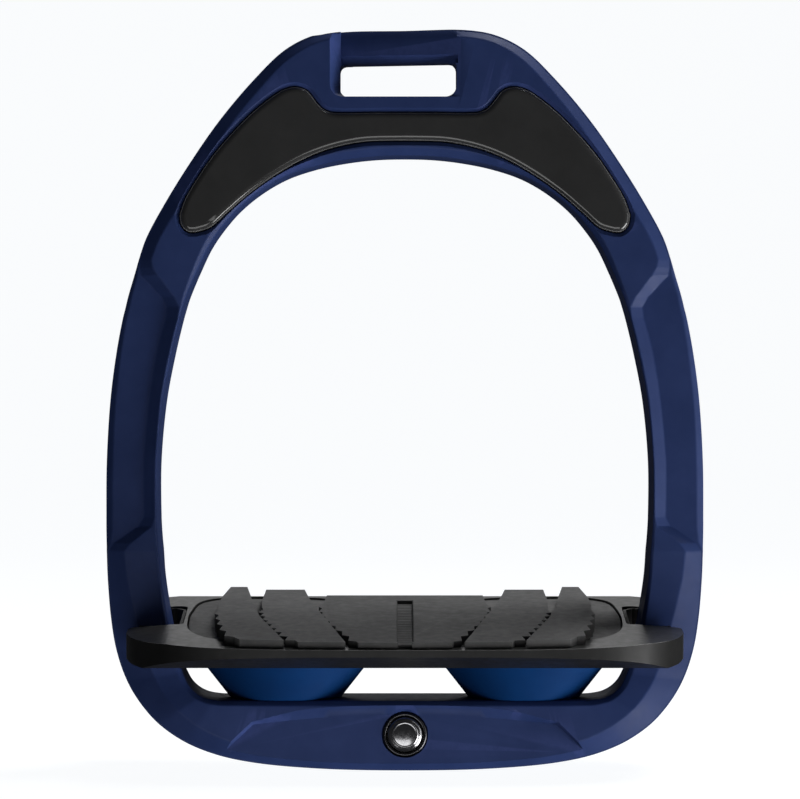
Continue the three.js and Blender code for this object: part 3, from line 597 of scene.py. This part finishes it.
def make_tread():
    below = -TREAD_THICK - 1
    obj = skin("tread_moulding", [up(tread_outline(), z) for z in (-TREAD_THICK, 0)])
    scoop = [[(x, -60, 5.7), (x, TREAD_NEAR, -1.7), (x, -30, -TREAD_THICK), (x, -30, -15),
              (x, -60, -15)] for x in (-90, 90)]
    boolean(obj, skin("scoop", scoop))
    boolean(obj, skin("pad_well", [up(pad_outline(GAP), z) for z in (PAD_WELL, 5)]))
    for sign in (-1, 1):
        ear = [[(sign * 56.2, y, 0), (sign * 80, y, -1.9), (sign * 80, y, 5), (sign * 56.2, y, 5)]
               for y in (-50, 30)]
        boolean(obj, skin("ear_slope", ear))
        x = sign * CONE["x"]
        shift = Matrix.Translation((x, SEAT_Y, 0))
        boolean(obj, moved(
            rod("socket", SOCKET["radius"], below, -TREAD_THICK + SOCKET["depth"], 96), shift))
        boolean(obj, moved(rod("screw_hole", TREAD_SCREW["hole"], below, 1), shift))
        boolean(obj, moved(rod("screw_well", TREAD_SCREW["well"], TREAD_SCREW["level"], 1), shift))
    for x, y in PAD_SCREWS:
        shift = Matrix.Translation((x, y, 0))
        boolean(obj, moved(rod("pad_hole", PAD_SCREW["hole"], below, 1, 32), shift))
        boolean(obj, moved(rod("pad_head", PAD_SCREW["well"], below, PAD_SCREW["level"], 32), shift))
    soften(obj, 0.5, angle=25, segments=3)

    def near(c, n):
        return n.y < -0.15 and c.y < -20

    # The rounded lip's faces take a pale grey material as a painted highlight line.
    mark_faces(obj,
               lambda c, n: near(c, n) and -0.35 < n.z < 0.97 and c.z > -0.5,  # the rounded lip, painted pale grey as a highlight
               lambda c, n: near(c, n) and n.z < 0.3)  # the scooped face under it, painted darker as shade
    return shade(place(obj, in_tread=True))


def serrated(points, teeth, depth, start, stop):
    """An edge with saw teeth on its right-hand side, between two shares of its length."""
    path = np.array(spline(points, 24))
    steps = np.r_[0, np.cumsum(np.linalg.norm(np.diff(path, axis=0), axis=1))]
    share = steps / steps[-1]

    def at(t):
        """The point at a share of the edge's length."""
        return np.array([np.interp(t, share, path[:, k]) for k in (0, 1)])

    def normal(t):
        """The direction of a tooth there."""
        d = at(min(t + 0.01, 1)) - at(max(t - 0.01, 0))
        d /= np.linalg.norm(d)
        return np.array((d[1], -d[0]))

    edge = [at(start * i / 5) for i in range(5)] if start > 0 else []
    for i in range(teeth):
        root = start + (stop - start) * i / teeth
        tip = start + (stop - start) * (i + 0.72) / teeth
        edge += [at(root), at(tip) + normal(tip) * depth * (0.7 + 0.6 * i / teeth)]
    edge.append(at(stop))
    edge += [at(stop + (1 - stop) * i / 2) for i in (1, 2)] if stop < 1 else []
    return edge


def outer_block():
    """The left outer block: the toothed edge, the near end and the plain edge."""
    edge = serrated([(-43.3, 21), (-45.1, 4), (-45, -10), (-43.6, -24), (-41, -36), (-38.6, -40.4)],
                    5, 1.3, 0.5, 0.95)
    return edge + [np.array((-28.3, -41.4))] + spline(
        [(-34.4, -18.6), (-36.4, -7), (-37.8, 8), (-39.2, 21)], 5)


def middle_block():
    """The block between the outer and the centre one, on the left."""
    edge = serrated([(-34.5, 20.5), (-34.9, 2), (-33.3, -15.6), (-31, -25.6), (-28, -34.5),
                     (-24.9, -41.6)], 8, 1.7, 0.42, 0.97)
    return edge + [np.array((-13.9, -42.0))] + spline(
        [(-17.4, -25), (-21, -6), (-23.6, 10), (-24.9, 20.5)], 5)


def centre_block():
    """The centre block, with a notched groove that opens to the near edge."""
    edge = serrated([(-19.3, 14), (-20.1, -4.5), (-18.7, -16), (-16.2, -25.5), (-13.6, -33.5),
                     (-10.9, -42)], 8, 1.2, 0.2, 0.97)
    groove = [np.array((-1.6, -42.3))]
    for i in range(48):
        groove += [np.array((-1.75, i - 41)), np.array((-2.15, i - 40.5))]
    left = edge + groove + [np.array((-2.07, 7.0))]
    return left + mirrored(left)


def groove_floor():
    """The shallow ribbed floor of the groove down the middle of the centre block."""
    ribs = [(-41.4, 0.2), (-41.4, 1.0)]
    for i in range(24):
        y = -41 + 2 * i
        ribs += [(y, 1.0), (y + 0.5, 1.35), (y + 1.3, 1.35), (y + 1.6, 1.0)]
    ribs += [(8.5, 1.0), (8.5, 0.2)]
    return skin("groove_floor", [[(x, y, z) for y, z in ribs] for x in (-2.6, 2.6)])


def slope_blocks(obj):
    """Lets the blocks run down towards the near edge."""
    level, drop, start, length = 0.6, 0.42, 14, 26
    for v in obj.data.vertices:
        if v.co.z > level:
            v.co.z -= (v.co.z - level) * drop * min(max((-v.co.y - start) / length, 0), 1) ** 1.5


def make_pad():
    obj = skin("grip_pad_moulding", [up(pad_outline(), z) for z in (PAD_TOP - PAD_THICK, PAD_TOP)])
    soften(obj, 0.3, angle=40)
    outer, middle, centre = outer_block(), middle_block(), centre_block()
    blocks = [("outer", outer), ("outer", mirrored(outer)), ("middle", middle),
              ("middle", mirrored(middle)), ("centre", centre)]
    for kind, outline in blocks:
        block = skin("block", [up(outline, z) for z in (0.12, BLOCKS[kind])])
        root = skin("root", [up(outline, z) for z in (PAD_TOP - 0.2, 0.5)])
        limit = skin("limit", [up(pad_outline(-0.1), z) for z in (PAD_TOP - 1, 10)])
        boolean(block, boolean(root, limit, "INTERSECT"), "UNION")
        soften(block, 0.28, angle=40, segments=2)
        boolean(obj, block, "UNION")
    boolean(obj, groove_floor(), "UNION")
    slope_blocks(obj)
    return shade(place(obj, in_tread=True))


# ---- elastomers ---------------------------------------------------------------------------------

def make_elastomer(name, x):
    """A rubber cone, cut off along the tread and bored for the steel discs at its two ends."""
    profile = fillet_profile([
        (0, 0, 0), (CONE["foot"], 0, 0.5), (CONE["head"], CONE["knee"], 1.2),
        (CONE["head"], CONE["height"], 0), (0, CONE["height"], 0)], 8)
    obj = turned(name, profile, 128)
    moved(obj, Matrix.Translation((x, 0, BASE_TOP + 0.05)))
    lid = [[(a, -60, CONE_TOP), (a, 60, CONE_TOP), (a, 60, 40), (a, -60, 40)] for a in (-80, 80)]
    boolean(obj, moved(skin("lid", lid), TREAD_POSE))
    boolean(obj, moved(rod("head_seat", HEAD_SEAT["radius"], HEAD_SEAT["level"], 0),
                       TREAD_POSE @ Matrix.Translation((x, SEAT_Y, 0))))
    boolean(obj, moved(rod("foot_seat", FOOT_SEAT["radius"], -1, FOOT_SEAT["level"]),
                       Matrix.Translation((x, 0, BASE_TOP))))
    soften(obj, 0.3, angle=40)
    return shade(place(obj))


# ---- materials ----------------------------------------------------------------------------------

class Nodes:
    """A node tree of one material, with object coordinates in millimetres."""

    def __init__(self, name):
        self.material = bpy.data.materials.new(name)
        self.material.use_nodes = True
        self.tree = self.material.node_tree
        self.surface = self.tree.nodes["Principled BSDF"]
        coords = self.add("ShaderNodeTexCoord")
        scale = self.add("ShaderNodeVectorMath", operation="SCALE")
        scale.inputs["Scale"].default_value = 1 / MM
        self.link(coords.outputs["Object"], scale.inputs[0])
        self.space = scale.outputs[0]

    def add(self, kind, **settings):
        node = self.tree.nodes.new(kind)
        for key, value in settings.items():
            setattr(node, key, value)
        return node

    def link(self, a, b):
        self.tree.links.new(a, b)

    def noise(self, per_mm, detail=3.0, roughness=0.55, space=None):
        node = self.add("ShaderNodeTexNoise")
        node.inputs["Scale"].default_value = per_mm
        node.inputs["Detail"].default_value = detail
        node.inputs["Roughness"].default_value = roughness
        self.link(space or self.space, node.inputs["Vector"])
        return node.outputs["Fac"]

    def spread(self, value, low, high, source=(0.3, 0.7)):
        """The value's source range stretched to run from low to high."""
        node = self.add("ShaderNodeMapRange")
        node.inputs["From Min"].default_value = source[0]
        node.inputs["From Max"].default_value = source[1]
        node.inputs["To Min"].default_value = low
        node.inputs["To Max"].default_value = high
        self.link(value, node.inputs["Value"])
        return node.outputs["Result"]

    def blend(self, factor, a, b):
        node = self.add("ShaderNodeMix", data_type="RGBA")
        node.inputs[6].default_value = (*a, 1)
        node.inputs[7].default_value = (*b, 1)
        self.link(factor, node.inputs["Factor"])
        return node.outputs[2]

    def bump(self, heights):
        """Chained bumps from (height, strength, distance in millimetres)."""
        normal = None
        for height, strength, distance in heights:
            node = self.add("ShaderNodeBump")
            node.inputs["Strength"].default_value = strength
            node.inputs["Distance"].default_value = distance * MM
            self.link(height, node.inputs["Height"])
            if normal:
                self.link(normal, node.inputs["Normal"])
            normal = node.outputs["Normal"]
        self.link(normal, self.surface.inputs["Normal"])

    def set(self, **values):
        for key, value in values.items():
            self.surface.inputs[key.replace("_", " ")].default_value = value


def worn_plastic(name, dark, light, roughness, grain, grain_depth, specular=0.5, coat=0.0,
                 edge=None, wear_and_highlight=0.4):
    """A moulded plastic: faint cloudy colour, fine grain, and sharp edges painted paler, partly as wear
    and partly as a painted edge highlight.
    """
    n = Nodes(name)
    colour = n.blend(n.spread(n.noise(0.09, 4), 0, 1), dark, light)
    # Sharp edges take the edge colour: part wear, part a painted highlight along the edges.
    sharp = n.add("ShaderNodeNewGeometry").outputs["Pointiness"]
    patchy = n.add("ShaderNodeMath", operation="MULTIPLY", use_clamp=True)
    n.link(n.spread(sharp, 0, wear_and_highlight, (0.52, 0.62)), patchy.inputs[0])
    n.link(n.spread(n.noise(0.6, 3), 0.4, 1.0), patchy.inputs[1])
    edge_wear_and_highlight = n.add("ShaderNodeMix", data_type="RGBA")
    n.link(patchy.outputs[0], edge_wear_and_highlight.inputs["Factor"])
    n.link(colour, edge_wear_and_highlight.inputs[6])
    edge_wear_and_highlight.inputs[7].default_value = (*(edge or light), 1)
    n.link(edge_wear_and_highlight.outputs[2], n.surface.inputs["Base Color"])
    n.link(n.spread(n.noise(0.5, 5), *roughness), n.surface.inputs["Roughness"])
    n.bump([(n.noise(0.25, 3), 0.12, 0.06), (n.noise(grain, 2), grain_depth, 0.05)])
    n.set(Specular_IOR_Level=specular, Coat_Weight=coat, Coat_Roughness=0.12)
    return n.material


def metal(name, colour, paler, roughness, streak=(1, 1, 1)):
    """A metal with fine marks, drawn out along the axes where the streak is below one."""
    n = Nodes(name)
    stretch = n.add("ShaderNodeVectorMath", operation="MULTIPLY")
    n.link(n.space, stretch.inputs[0])
    stretch.inputs[1].default_value = streak
    grain = n.noise(3.0, 4.0, 0.5, stretch.outputs[0])
    n.link(n.blend(n.spread(grain, 0, 1), colour, paler), n.surface.inputs["Base Color"])
    n.link(n.spread(n.noise(1.2), *roughness), n.surface.inputs["Roughness"])
    n.bump([(grain, 0.15, 0.02)])
    n.set(Metallic=1.0)
    return n.material


def grey(value):
    return (value, value, value)


def make_materials():
    return {
        "navy": worn_plastic("navy_moulded_plastic", (0.02, 0.038, 0.128), (0.028, 0.05, 0.16),
                             (0.42, 0.54), 3.2, 0.16, specular=0.16, edge=(0.06, 0.085, 0.27)),
        "gloss": worn_plastic("gloss_black", grey(0.034), grey(0.042), (0.05, 0.12), 0.9, 0.02,
                              coat=0.3, edge=grey(0.3), wear_and_highlight=0.8),
        # Pale grey for the step round the insert: a painted highlight line.
        "hairline": worn_plastic("painted_highlight_hairline", grey(0.2), grey(0.3), (0.1, 0.2), 0.9, 0.02,
                                 coat=0.3),
        "tread": worn_plastic("satin_black_plastic", grey(0.018), grey(0.026), (0.3, 0.4), 3.0, 0.12,
                              edge=grey(0.16), wear_and_highlight=0.5),
        # Pale grey for the tread's rounded lip: a painted highlight line.
        "lip": worn_plastic("painted_highlight_lip", grey(0.2), grey(0.3), (0.25, 0.35), 3.0, 0.12),
        # A darker copy of the tread's black for the scooped face: painted shade.
        "scoop": worn_plastic("painted_shade_scoop", grey(0.008), grey(0.014), (0.4, 0.5), 3.0, 0.12,
                              specular=0.25),
        "grip": worn_plastic("grip_grey", grey(0.045), grey(0.075), (0.62, 0.82), 3.4, 0.6,
                             edge=grey(0.13)),
        "blue": worn_plastic("blue_elastomer", (0.002, 0.028, 0.115), (0.002, 0.035, 0.14),
                             (0.5, 0.65), 2.0, 0.1, specular=0.1),
        "rubber": worn_plastic("black_rubber", grey(0.006), grey(0.012), (0.6, 0.8), 2.0, 0.3),
        "chrome": metal("dark_chrome", (0.05, 0.05, 0.055), (0.09, 0.09, 0.095), (0.2, 0.3)),
        "lens": metal("smoked_chrome", (0.3, 0.3, 0.31), (0.38, 0.38, 0.39), (0.16, 0.24)),
        "zinc": metal("zinc_plate", (0.5, 0.5, 0.52), (0.66, 0.66, 0.68), (0.28, 0.42)),
        "steel": metal("screw_steel", (0.4, 0.41, 0.43), (0.55, 0.56, 0.58), (0.2, 0.34),
                       streak=(0.3, 0.3, 3)),
        "nickel": metal("magnet_nickel", (0.55, 0.53, 0.48), (0.66, 0.64, 0.6), (0.16, 0.28)),
    }


# ---- studio -------------------------------------------------------------------------------------

def make_backdrop():
    """A pale floor that curves up into a pale wall. It glows by itself, and lights and shades nothing."""
    start, bend, steps = 1.2, 1.2, 16
    rows = [(-3.0, 0.0), (start, 0.0)]
    for i in range(1, steps + 1):
        a = i / steps * math.pi / 2
        rows.append((start + bend * math.sin(a), bend - bend * math.cos(a)))
    rows.append((start + bend, 4.5))
    verts = [(x, y, FLOOR + z) for y, z in rows for x in (-6, 6)]
    faces = [(2 * i, 2 * i + 1, 2 * i + 3, 2 * i + 2) for i in range(len(rows) - 1)]
    mesh = bpy.data.meshes.new("backdrop")
    mesh.from_pydata(verts, [], faces)
    for face in mesh.polygons:
        face.use_smooth = True
    obj = bpy.data.objects.new("backdrop", mesh)
    bpy.context.scene.collection.objects.link(obj)
    n = Nodes("pale_backdrop")
    n.set(Base_Color=(0.1, 0.1, 0.1, 1), Roughness=0.9, Emission_Strength=0.97)
    n.surface.inputs["Emission Color"].default_value = (0.97, 0.985, 1, 1)
    obj.data.materials.append(n.material)
    obj.visible_diffuse = False
    obj.visible_glossy = False
    obj.visible_shadow = False


def area_light(name, place_at, target, size, power, seen=True):
    """An area light, which shows in the picture only if it is seen."""
    data = bpy.data.lights.new(name, "AREA")
    data.shape = "RECTANGLE"
    data.size, data.size_y = size
    data.energy = power
    obj = bpy.data.objects.new(name, data)
    bpy.context.scene.collection.objects.link(obj)
    obj.location = place_at
    obj.rotation_euler = (Vector(target) - Vector(place_at)).to_track_quat("-Z", "Y").to_euler()
    obj.visible_camera = seen


def make_lights():
    """Most light comes from the right and from below, so faces turned up and left stay dark."""
    middle = (0, 0, MIDDLE)
    area_light("key_low", (0.93, -0.35, MIDDLE - 0.58), middle, (0.7, 0.7), 12.5)
    area_light("fill_low", (-0.15, -1.0, MIDDLE - 0.62), middle, (0.9, 0.5), 3.2)
    area_light("key_right", (1.1, -0.28, MIDDLE + 0.05), middle, (0.5, 0.7), 1.5)
    area_light("top_soft", (0.35, 0.22, MIDDLE + 0.8), middle, (0.4, 0.4), 7.5)
    area_light("back_sheen", (0, 1.2, MIDDLE + 0.52), (0, 0, MIDDLE - 0.05), (0.6, 0.25), 0.6, False)
    world = bpy.data.worlds.new("studio")
    bpy.context.scene.world = world
    world.use_nodes = True
    background = world.node_tree.nodes["Background"]
    background.inputs["Color"].default_value = (0.9, 0.93, 1, 1)
    background.inputs["Strength"].default_value = 0.035


def make_camera():
    data = bpy.data.cameras.new("camera")
    data.lens = LENS
    data.sensor_width = 36
    data.clip_start = 0.05
    data.clip_end = 30
    obj = bpy.data.objects.new("camera", data)
    bpy.context.scene.collection.objects.link(obj)
    obj.location = CAMERA
    obj.rotation_euler = (math.pi / 2, 0, 0)
    bpy.context.scene.camera = obj


# ---- assembly -----------------------------------------------------------------------------------

def dress_nodes(material, *names):
    """Gives carried-over CAD nodes their material and a small rounding of their edges."""
    for name in names:
        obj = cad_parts[name]
        obj.data.materials.clear()
        obj.data.materials.append(material)
        flat = obj.modifiers.new("flat", "DECIMATE")
        flat.decimate_type = "DISSOLVE"
        flat.angle_limit = math.radians(1)
        bevel = obj.modifiers.new("round", "BEVEL")
        bevel.width = 0.15 * MM
        bevel.segments = 2
        bevel.limit_method = "ANGLE"
        bevel.angle_limit = math.radians(35)


def main():
    """The pieces in their order: branch, insert, badge, tread and pad, then what comes in pairs."""
    make_camera()
    bpy.context.scene.view_settings.view_transform = "Standard"
    looks = make_materials()
    dress(make_branch(), looks["navy"], "frame", "branch_navy", "branch")
    dress(make_insert(), looks["gloss"], "frame", "insert_gloss_black", "arch_insert",
          trim=[looks["hairline"]])
    dress(make_badge_cup(), looks["chrome"], "frame", "badge_chrome", "badge_cup")
    dress(make_badge_dome(), looks["lens"], "frame", "badge_lens", "badge_dome")
    dress(make_tread(), looks["tread"], "tread", "tread_black", "tread_plate",
          trim=[looks["lip"], looks["scoop"]])
    dress(make_pad(), looks["grip"], "tread", "grip_rubber", "grip_pad")
    for side, x in (("left", -CONE["x"]), ("right", CONE["x"])):
        name = f"elastomer_{side}_cone"
        obj = dress(make_elastomer(name, x), looks["blue"], "frame", "rubber_blue", f"elastomer_{side}")
        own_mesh(obj)
        dress_nodes(looks["zinc"], f"buffer_base_disc_{side}", f"buffer_top_disc_{side}",
                    f"base_washer_{side}")
        dress_nodes(looks["steel"], f"base_screw_{side}", f"tread_screw_{side}",
                    f"pad_screw_{side}_toe", f"pad_screw_{side}_heel")
        dress_nodes(looks["rubber"], f"notch_bumper_{side}")
        dress_nodes(looks["nickel"], f"insert_magnet_{side}")
    dress_nodes(looks["nickel"], "insert_magnet_centre")
    make_backdrop()
    make_lights()


main()
